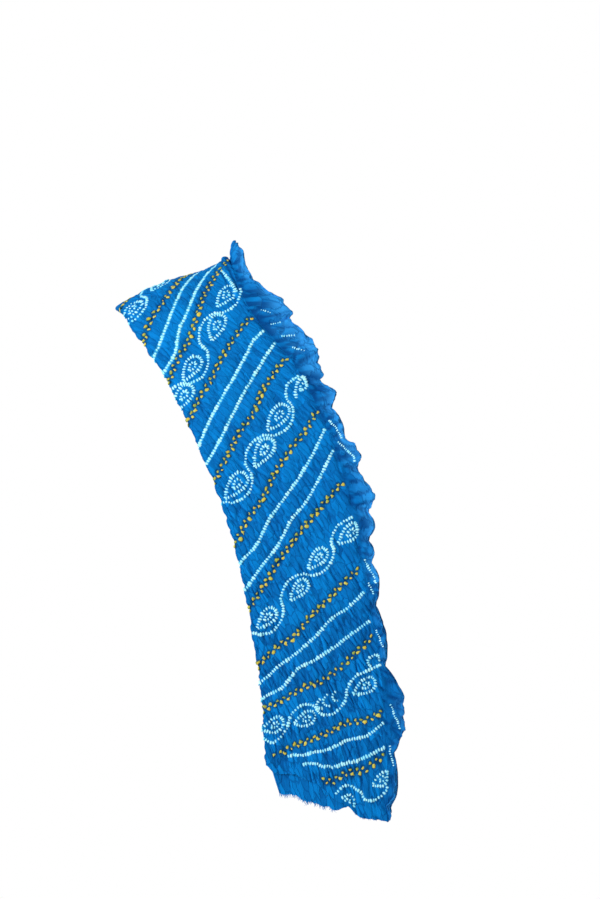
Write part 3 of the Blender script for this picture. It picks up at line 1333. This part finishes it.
def cloth_piece(name, surface, rows, columns, ties, tree, material, thickness, strength):
    """A fine grid laid on the cloth's surface and crinkled, then given its thickness."""
    deselect()
    across_steps, along_steps = len(columns) - 1, len(rows) - 1
    bpy.ops.mesh.primitive_grid_add(x_subdivisions=across_steps, y_subdivisions=along_steps, size=1)
    piece = bpy.context.active_object
    places = vertex_places(piece.data) + 0.5
    column = np.rint(places[:, 0] * across_steps).astype(int)
    row = np.rint(places[:, 1] * along_steps).astype(int)
    run, across = np.asarray(rows)[row], np.asarray(columns)[column]
    crinkled = crinkle(run, across, ties, tree, strength)
    mesh = shape_up(piece, name, surface(run, across, crinkled.height), material)
    lay_out(mesh, "weave", across * TIED_WIDTH, run * FALL_LENGTH)
    lay_out(mesh, "rows", crinkled.along, crinkled.over)
    low, margin = lower_share(run), margin_share(across)
    thin = margin * (0.25 + 1.1 * frill_swells(run, margin, LOBES, 61)) * (1 - 0.6 * low)
    for mark, values in (("crease", crinkled.crease), ("knot", crinkled.knot),
                         ("stain", crinkled.stain), ("low", low),
                         ("thin", thin * (1 - 0.8 * on_ridge(run)))):
        paint(mesh, mark, values)
    thicken = piece.modifiers.new("thickness", "SOLIDIFY")
    thicken.thickness = thickness
    thicken.offset = 0.0
    apply_modifiers(piece)
    bpy.ops.object.shade_smooth_by_angle(angle=math.radians(60))
    return piece


def tie_model(sides):
    """One tied point: a low knob, wider at its foot, about one unit in half size."""
    deselect()
    bpy.ops.mesh.primitive_cylinder_add(vertices=sides, radius=1.0, depth=0.5,
                                        location=(0, 0, -0.15))
    model = bpy.context.active_object
    bpy.ops.object.transform_apply(location=True, rotation=True, scale=True)
    bpy.ops.object.mode_set(mode="EDIT")
    bpy.ops.mesh.select_all(action="DESELECT")
    bpy.ops.object.mode_set(mode="OBJECT")
    for face in model.data.polygons:
        face.select = face.normal.z > 0.9
    bpy.ops.object.mode_set(mode="EDIT")
    bpy.ops.transform.resize(value=(FOOT_NARROWING, FOOT_NARROWING, 1.0))
    for rise, narrowing in KNOB_STEPS[:2 if sides > FEW_SIDES else 1]:
        bpy.ops.mesh.extrude_region_move(TRANSFORM_OT_translate={"value": (0, 0, rise)})
        bpy.ops.transform.resize(value=(narrowing, narrowing, 1.0))
    bpy.ops.object.mode_set(mode="OBJECT")
    return model


def many_of(model, count):
    """Repeats the model in one mesh; gives each point's place in the model, and its copy."""
    repeat = model.modifiers.new("repeat", "ARRAY")
    repeat.count = count
    repeat.use_relative_offset = False
    repeat.use_constant_offset = True
    repeat.constant_offset_displace = (3.0, 0.0, 0.0)
    each = vertex_places(model.data)
    apply_modifiers(model)
    return np.tile(each, (count, 1)), np.repeat(np.arange(count), len(each))


def fold_steps_at(across):
    """Steps round the fold for a tie that lies past the fold edge."""
    steps = across * TIED_WIDTH / (math.pi * LAYER_PITCH / 2) * FOLD_STEPS
    return np.where(across < 0, np.maximum(steps, -FOLD_STEPS), across)


def set_ties(name, ties, every_tie, surface, tree, material, strength, facing, sink,
             sides, starry):
    """Puts a tied point on the cloth at every tie; starry is 1 for star-shaped ones, else 0."""
    across = fold_steps_at(ties.across)
    next_across = fold_steps_at(ties.next_across)
    relief = crinkle(ties.run, across, every_tie, tree, strength).height + facing * sink
    point = surface(ties.run, across, relief)
    normal = unit(surface(ties.run, across, relief + 0.1 * MM) - point) * facing
    way = surface(ties.next_run, next_across, relief) - point
    way = unit(way - normal * np.sum(way * normal, axis=1, keepdims=True))
    aside = np.cross(normal, way)
    model = tie_model(sides)
    local, copies = many_of(model, len(ties.run))
    spoke = np.rint(np.arctan2(local[:, 1], local[:, 0]) * sides / (2 * math.pi))
    rough = 1 + (TIE_ROUGHNESS + STAR_DEPTH * starry) * (scatter(copies, spoke, 13) - 0.5)
    cells = np.arange(len(ties.run))
    skew = (TIE_SKEW + 2 * starry) * (scatter(cells, 0, 15) - 0.5)
    way, aside = unit(way + aside * skew[:, None]), unit(aside - way * skew[:, None])
    point = point + aside * (TIE_STRAY * (scatter(cells, 0, 16) - 0.5))[:, None]
    points = (
        point[copies]
        + way[copies] * (local[:, 0] * rough * ties.length[copies] / 2)[:, None]
        + aside[copies] * (local[:, 1] * rough * ties.width[copies] / 2)[:, None]
        + normal[copies] * (local[:, 2] * ties.height[copies])[:, None]
    )
    mesh = shape_up(model, name, points, material)
    paint(mesh, "lift", (local[:, 2] - local[:, 2].min()) / np.ptp(local[:, 2]))
    paint(mesh, "shade", ties.shade[copies])
    mesh.shade_smooth()
    return model


def thread_model():
    """A loose thread: a three-sided strand of a few lengths, one unit long."""
    deselect()
    bpy.ops.mesh.primitive_circle_add(vertices=3, radius=1.0, fill_type="NGON")
    model = bpy.context.active_object
    bpy.ops.object.mode_set(mode="EDIT")
    bpy.ops.mesh.select_all(action="SELECT")
    for _ in range(THREAD_LENGTHS):
        bpy.ops.mesh.extrude_region_move(
            TRANSFORM_OT_translate={"value": (0, 0, 1 / THREAD_LENGTHS)})
    bpy.ops.mesh.select_all(action="SELECT")
    bpy.ops.mesh.normals_make_consistent(inside=False)
    bpy.ops.object.mode_set(mode="OBJECT")
    return model


def thread_roots(hem, number, ties, tree):
    """Where a hem's threads start, their directions down, aside and out, and their lengths."""
    surface = outer_layer_point if hem.layer == "outer" else under_layer_point
    cells = np.arange(hem.threads)
    places = (cells + 0.2 + 0.6 * scatter(cells, 0, 71 + number)) / hem.threads
    across = hem.first + (hem.last - hem.first) * places
    run = np.full(hem.threads, hem.side * (1.0 - THREAD_ROOT_RUN))
    relief = crinkle(run, across, ties, tree, hem.strength).height
    root = surface(run, across, relief)
    down = unit(root - surface(run - hem.side * THREAD_PROBE_RUN, across, relief))
    side = unit(surface(run, across + THREAD_PROBE_ACROSS, relief) - root)
    length = hem.length_mm * MM * (0.35 + 0.9 * scatter(cells, 1, 81 + number))
    return root, down, side, np.cross(side, down), length


def set_threads(name, hems, ties, tree, material):
    """Loose thread ends along raw hems; each hem gives its layer, side, span and thread count."""
    starts = [thread_roots(hem, number, ties, tree) for number, hem in enumerate(hems)]
    root, down, side, out, length = (np.concatenate(part) for part in zip(*starts))
    model = thread_model()
    local, copies = many_of(model, len(root))
    cells = np.arange(len(root))
    lean = (scatter(cells, 2, 83) - 0.5) * 1.1
    curl = (scatter(cells, 3, 83) - 0.5) * 1.0
    sway = (scatter(cells, 4, 83) - 0.3) * 0.5
    share = local[:, 2]
    thin = THREAD_RADIUS * (1 - 0.45 * share)
    size = length[copies]
    aside = size * (lean[copies] * share + curl[copies] * share**2)
    points = (
        root[copies]
        + down[copies] * (share * size * (1 - 0.18 * share))[:, None]
        + side[copies] * (aside + local[:, 0] * thin)[:, None]
        + out[copies] * (size * sway[copies] * share**2 + local[:, 1] * thin)[:, None]
    )
    mesh = shape_up(model, name, points, material)
    paint(mesh, "shade", scatter(cells, 5, 83)[copies])
    mesh.shade_smooth()
    return model


# ------------------------------------------------------------------------------------ settings
A_COLOUR = {"subtype": "COLOR", "size": 3, "min": 0.0, "max": 1.0}
A_LENGTH = {"subtype": "DISTANCE", "unit": "LENGTH"}


class StoleClothSettings(bpy.types.PropertyGroup):
    """Sizes and colours of the cloth."""

    thickness: FloatProperty(
        name="Cloth thickness", description="How thick the voile is made",
        default=0.0005, min=0.0001, max=0.0012, **A_LENGTH)
    grid: FloatProperty(
        name="Mesh step", description="Distance between the mesh rows of the outer layer",
        default=0.00145, min=0.0008, max=0.01, **A_LENGTH)
    crinkle: FloatProperty(
        name="Crinkle", description="Strength of the crinkles, 1 for well gathered cloth",
        default=1.0, min=0.0, max=1.5, subtype="FACTOR")
    dye: FloatVectorProperty(
        name="Dye", description="Main blue of the cloth",
        default=(0.0010, 0.203, 0.590), **A_COLOUR)
    dye_low: FloatVectorProperty(
        name="Darker dye", description="Blue where the dye took more strongly",
        default=(0.0008, 0.146, 0.470), **A_COLOUR)
    dye_deep: FloatVectorProperty(
        name="Crease dye", description="Deep blue in the creases",
        default=(0.0004, 0.058, 0.240), **A_COLOUR)
    dye_dark: FloatVectorProperty(
        name="Darkest dye", description="Navy round the yellow ties",
        default=(0.0020, 0.035, 0.110), **A_COLOUR)
    dye_pale: FloatVectorProperty(
        name="Pale dye", description="Lighter blue of thin single cloth",
        default=(0.034, 0.335, 0.820), **A_COLOUR)
    rim: FloatVectorProperty(
        name="Rim of white ties", description="Turquoise where the dye crept under a tie",
        default=(0.060, 0.540, 0.850), **A_COLOUR)
    tint: FloatVectorProperty(
        name="Tinted ties", description="Ties that took a little of the blue",
        default=(0.24, 0.74, 0.92), **A_COLOUR)
    white: FloatVectorProperty(
        name="White ties", description="Cloth that the ties kept free of dye",
        default=(0.52, 0.93, 0.99), **A_COLOUR)
    yellow: FloatVectorProperty(
        name="Yellow ties", description="Ties of the double rows",
        default=(0.72, 0.67, 0.130), **A_COLOUR)
    moss: FloatVectorProperty(
        name="Foot of yellow ties", description="Dark green where the yellow runs into the blue",
        default=(0.045, 0.105, 0.050), **A_COLOUR)
    olive: FloatVectorProperty(
        name="Olive ties", description="Yellow ties that took a little blue",
        default=(0.25, 0.36, 0.070), **A_COLOUR)
    orange: FloatVectorProperty(
        name="Orange tips", description="Tips of the yellow ties",
        default=(0.72, 0.40, 0.030), **A_COLOUR)


class StoleStageSettings(bpy.types.PropertyGroup):
    """The studio round the stole."""

    floor_drop: FloatProperty(
        name="Floor below shoulder", description="From the shoulder ridge down to the floor",
        default=1.40, min=0.7, max=3.0, **A_LENGTH)
    sky: FloatProperty(
        name="Room light", description="Strength of the even light from all round",
        default=0.36, min=0.0, max=5.0)
    key: FloatProperty(
        name="Main light", description="Power of the large soft lamp at the upper left",
        default=60.0, min=0.0, max=500.0, subtype="POWER")
    fill: FloatProperty(
        name="Fill light", description="Power of the lamp at the right",
        default=6.0, min=0.0, max=500.0, subtype="POWER")


Stretch = namedtuple("Stretch", "name start end pitch_share")
STRETCHES = [
    Stretch("front", SHOULDER_END_RUN, 1.0, 1.0),
    Stretch("shoulder", -SHOULDER_END_RUN, SHOULDER_END_RUN, 1.0),
    Stretch("back", -1.0, -SHOULDER_END_RUN, 1.22),
]
Thread = namedtuple("Thread", "layer side first last threads length_mm strength")
FRONT_THREADS = [
    Thread("under", 1, 0.085, 0.56, 150, 5.0, 0.5),
    Thread("outer", 1, 0.02, 0.98, 70, 2.6, 1.0),
]
BACK_THREADS = [
    Thread("under", -1, 0.085, 0.43, 100, 6.0, 0.5),
    Thread("outer", -1, 0.02, 0.98, 70, 2.6, 1.0),
]
THREAD_LENGTHS = 4
THREAD_RADIUS = 0.28 * MM
THREAD_ROOT_RUN = 0.0015        # threads start this far above the hem
THREAD_PROBE_RUN, THREAD_PROBE_ACROSS = 0.004, 0.01
FINER_ACROSS = 0.74             # creases run along the stole, so the mesh is finer across it
UNDER_STRENGTH = 0.40
UNDER_PITCH = 3.2 * MM
CUT = {                         # width and length of each cut stretch, laid flat
    "front_tied": (0.160, 0.62), "shoulder_tied": (0.160, 0.146), "back_tied": (0.160, 0.52),
    "front_frill": (0.026, 0.62), "shoulder_frill": (0.030, 0.146), "back_frill": (0.026, 0.52),
    "front_under": (0.180, 0.62), "shoulder_under": (0.180, 0.146), "back_under": (0.180, 0.52),
}

WORK = {}                       # what the pieces share: the ties and where to find the nearest one


def shared_ties():
    if "ties" not in WORK:
        WORK["ties"] = all_ties()
        WORK["tree"] = tie_tree(WORK["ties"])
    return WORK["ties"], WORK["tree"]


def stretch_ties(ties, start, end, dye):
    chosen = (ties.run >= start) & (ties.run < end) & (ties.dye == dye)
    return Tie(*[column[chosen] for column in ties])


def cloth_stretches(context, part, surface, columns, pitches, material, strength):
    """Makes one layer's piece of each stretch; pitches are the mesh steps along each one."""
    ties, tree = shared_ties()
    for stretch, pitch in zip(STRETCHES, pitches):
        rows = even_steps(stretch.start, stretch.end, pitch / FALL_LENGTH)
        piece = cloth_piece(f"{stretch.name}_{part}", surface, rows, columns, ties, tree,
                            material, context.scene.stole_cloth.thickness, strength)
        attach(piece, "root")
        yield stretch.name, piece


# ----------------------------------------------------------------------------------- operators
class STOLE_OT_stage(bpy.types.Operator):
    """Make the pale floor, the soft lights and the camera"""

    bl_idname = "stole.stage"
    bl_label = "Stage"

    def execute(self, context):
        settings = context.scene.stole_stage
        deselect()
        bpy.ops.mesh.primitive_circle_add(vertices=96, radius=FLOOR_RADIUS, fill_type="NGON",
                                          location=(0.1, 0, -settings.floor_drop))
        floor = context.active_object
        floor.name = "floor"
        bpy.ops.object.transform_apply(location=True, rotation=True, scale=True)
        floor.data.materials.append(finish_once("pale_floor", matt_finish, FLOOR_COLOUR))
        world = bpy.data.worlds.new("room")
        world.use_nodes = True
        nodes, links = world.node_tree.nodes, world.node_tree.links
        light = nodes["Background"]
        light.inputs["Color"].default_value = (1.0, 1.0, 1.0, 1.0)
        seen = nodes.new("ShaderNodeLightPath")
        level = nodes.new("ShaderNodeMapRange")
        links.new(seen.outputs["Is Camera Ray"], level.inputs["Value"])
        level.inputs["To Min"].default_value = settings.sky
        level.inputs["To Max"].default_value = BACKGROUND_LEVEL
        links.new(level.outputs["Result"], light.inputs["Strength"])
        context.scene.world = world
        context.scene.view_settings.view_transform = "Standard"
        for name, place, size, power in (
                ("main_lamp", (-1.75, -1.65, 0.45), 0.9, settings.key),
                ("fill_lamp", (1.7, -1.9, 0.0), 1.6, settings.fill),
                ("back_lamp", (0.7, 2.2, 0.9), 1.8, settings.fill * 2.4)):
            bpy.ops.object.light_add(type="AREA", location=place)
            lamp = context.active_object
            lamp.name = name
            lamp.data.size = size
            lamp.data.energy = power
            toward = Vector(LAMPS_POINT_AT) - Vector(place)
            lamp.rotation_euler = toward.to_track_quat("-Z", "Y").to_euler()
        bpy.ops.object.camera_add(location=(CAMERA_X, -CAMERA_DISTANCE, CAMERA_Z),
                                  rotation=(math.pi / 2, 0, 0))
        camera = context.active_object
        camera.name = "camera"
        camera.data.sensor_fit = "VERTICAL"
        camera.data.angle = 2 * math.atan(PICTURE_HEIGHT * PIXEL / 2 / CAMERA_DISTANCE)
        camera.data.clip_end = 60
        context.scene.camera = camera
        return {"FINISHED"}


class STOLE_OT_tied_cloth(bpy.types.Operator):
    """Make the tied outer layer with its folded edge, stretch by stretch"""

    bl_idname = "stole.tied_cloth"
    bl_label = "Tied cloth"

    def execute(self, context):
        settings = context.scene.stole_cloth
        material = finish_once("crinkled_voile", crinkled_voile, settings, False, False)
        folded = np.linspace(-FOLD_STEPS - 1, 0, 2 * (FOLD_STEPS + 1) + 1)[:-1]
        flat = even_steps(0.0, 1.0, settings.grid * FINER_ACROSS / TIED_WIDTH)
        pitches = [settings.grid / FINER_ACROSS * stretch.pitch_share for stretch in STRETCHES]
        for name, piece in cloth_stretches(
                context, "tied_cloth", outer_layer_point, np.concatenate([folded, flat]),
                pitches, material, settings.crinkle):
            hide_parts(name + "_outer_layer")
            CUT[name + "_tied"]
        return {"FINISHED"}


class STOLE_OT_frill(bpy.types.Operator):
    """Make the untied frilled margin beyond the last tied row"""

    bl_idname = "stole.frill"
    bl_label = "Frill"

    def execute(self, context):
        settings = context.scene.stole_cloth
        material = finish_once("thin_voile", crinkled_voile, settings, False, True)
        columns = np.linspace(1.0, 2.0, FRILL_STEPS + 1)
        pitches = [settings.grid * stretch.pitch_share for stretch in STRETCHES]
        for name, piece in cloth_stretches(
                context, "frill", outer_layer_point, columns, pitches, material,
                settings.crinkle):
            CUT[name + "_frill"]
            name + "_tied_cloth"
        return {"FINISHED"}


class STOLE_OT_under_cloth(bpy.types.Operator):
    """Make the under layer, which lies on the wearer"""

    bl_idname = "stole.under_cloth"
    bl_label = "Under layer"

    def execute(self, context):
        settings = context.scene.stole_cloth
        material = finish_once("under_voile", crinkled_voile, settings, True, False)
        first = (FOLD_RETURN + FOLD_PLAY) / TIED_WIDTH
        columns = even_steps(first, 1.0 + UNDER_MARGIN_SHARE, UNDER_PITCH / TIED_WIDTH)
        for name, piece in cloth_stretches(
                context, "under_cloth", under_layer_point, columns,
                [UNDER_PITCH] * len(STRETCHES), material, UNDER_STRENGTH):
            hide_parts(name + "_under_layer")
            CUT[name + "_under"]
        return {"FINISHED"}


class STOLE_OT_ties(bpy.types.Operator):
    """Set every tied point on the outer layer and on the inside of the under layer"""

    bl_idname = "stole.ties"
    bl_label = "Ties"

    def execute(self, context):
        settings = context.scene.stole_cloth
        ties, tree = shared_ties()
        white = finish_once("white_ties", tie_finish, settings.rim, settings.tint,
                            settings.white, settings.white, 0.6, 0.78)
        yellow = finish_once("yellow_ties", tie_finish, settings.moss, settings.olive,
                             settings.yellow, settings.orange, 2.8, 0.96)
        for dye, word, material in ((0.0, "white", white), (1.0, "yellow", yellow)):
            for stretch in STRETCHES:
                chosen = stretch_ties(ties, stretch.start, stretch.end, dye)
                piece = set_ties(f"{stretch.name}_{word}_ties", chosen, ties, outer_layer_point,
                                 tree, material, settings.crinkle, 1.0,
                                 settings.thickness * 0.4, STAR_SIDES if dye else TIE_SIDES, dye)
                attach(piece, "root")
            inside = stretch_ties(ties, -1.0, 1.0, dye)
            shows = (inside.across > INSIDE_FROM) & (inside.across < 1.0)
            inside = Tie(*[column[shows] for column in inside])
            piece = set_ties(f"inside_{word}_ties", inside, ties, under_layer_point, tree,
                             material, UNDER_STRENGTH, -1.0, settings.thickness * 0.8,
                             FEW_SIDES, 0.0)
            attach(piece, "root")
        return {"FINISHED"}


class STOLE_OT_loose_threads(bpy.types.Operator):
    """Set the loose thread ends along the raw hems"""

    bl_idname = "stole.loose_threads"
    bl_label = "Loose threads"

    def execute(self, context):
        ties, tree = shared_ties()
        material = finish_once("loose_threads", thread_finish, context.scene.stole_cloth)
        for name, hems in (("front", FRONT_THREADS), ("back", BACK_THREADS)):
            piece = set_threads(name + "_hem_threads", hems, ties, tree, material)
            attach(piece, "root")
            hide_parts(name + "_frayed_hem")
        return {"FINISHED"}


class VIEW3D_PT_stole(bpy.types.Panel):
    """Buttons for the stole's pieces"""

    bl_label = "Dupatta stole"
    bl_idname = "VIEW3D_PT_stole"
    bl_space_type = "VIEW_3D"
    bl_region_type = "UI"
    bl_category = "Stole"

    def draw(self, context):
        for group in (context.scene.stole_stage, context.scene.stole_cloth):
            column = self.layout.column(align=True)
            for name in group.__annotations__:
                column.prop(group, name)
        for operator in OPERATORS:
            self.layout.operator(operator.bl_idname)


OPERATORS = (STOLE_OT_stage, STOLE_OT_tied_cloth, STOLE_OT_frill, STOLE_OT_under_cloth,
             STOLE_OT_ties, STOLE_OT_loose_threads)
CLASSES = (StoleClothSettings, StoleStageSettings) + OPERATORS + (VIEW3D_PT_stole,)


def register():
    for part in CLASSES:
        bpy.utils.register_class(part)
    bpy.types.Scene.stole_cloth = PointerProperty(type=StoleClothSettings)
    bpy.types.Scene.stole_stage = PointerProperty(type=StoleStageSettings)


def unregister():
    del bpy.types.Scene.stole_stage
    del bpy.types.Scene.stole_cloth
    for part in reversed(CLASSES):
        bpy.utils.unregister_class(part)


def main():
    register()
    bpy.ops.stole.stage()
    bpy.ops.stole.tied_cloth()
    bpy.ops.stole.frill()
    bpy.ops.stole.under_cloth()
    bpy.ops.stole.ties()
    bpy.ops.stole.loose_threads()


if __name__ == "__main__":
    main()
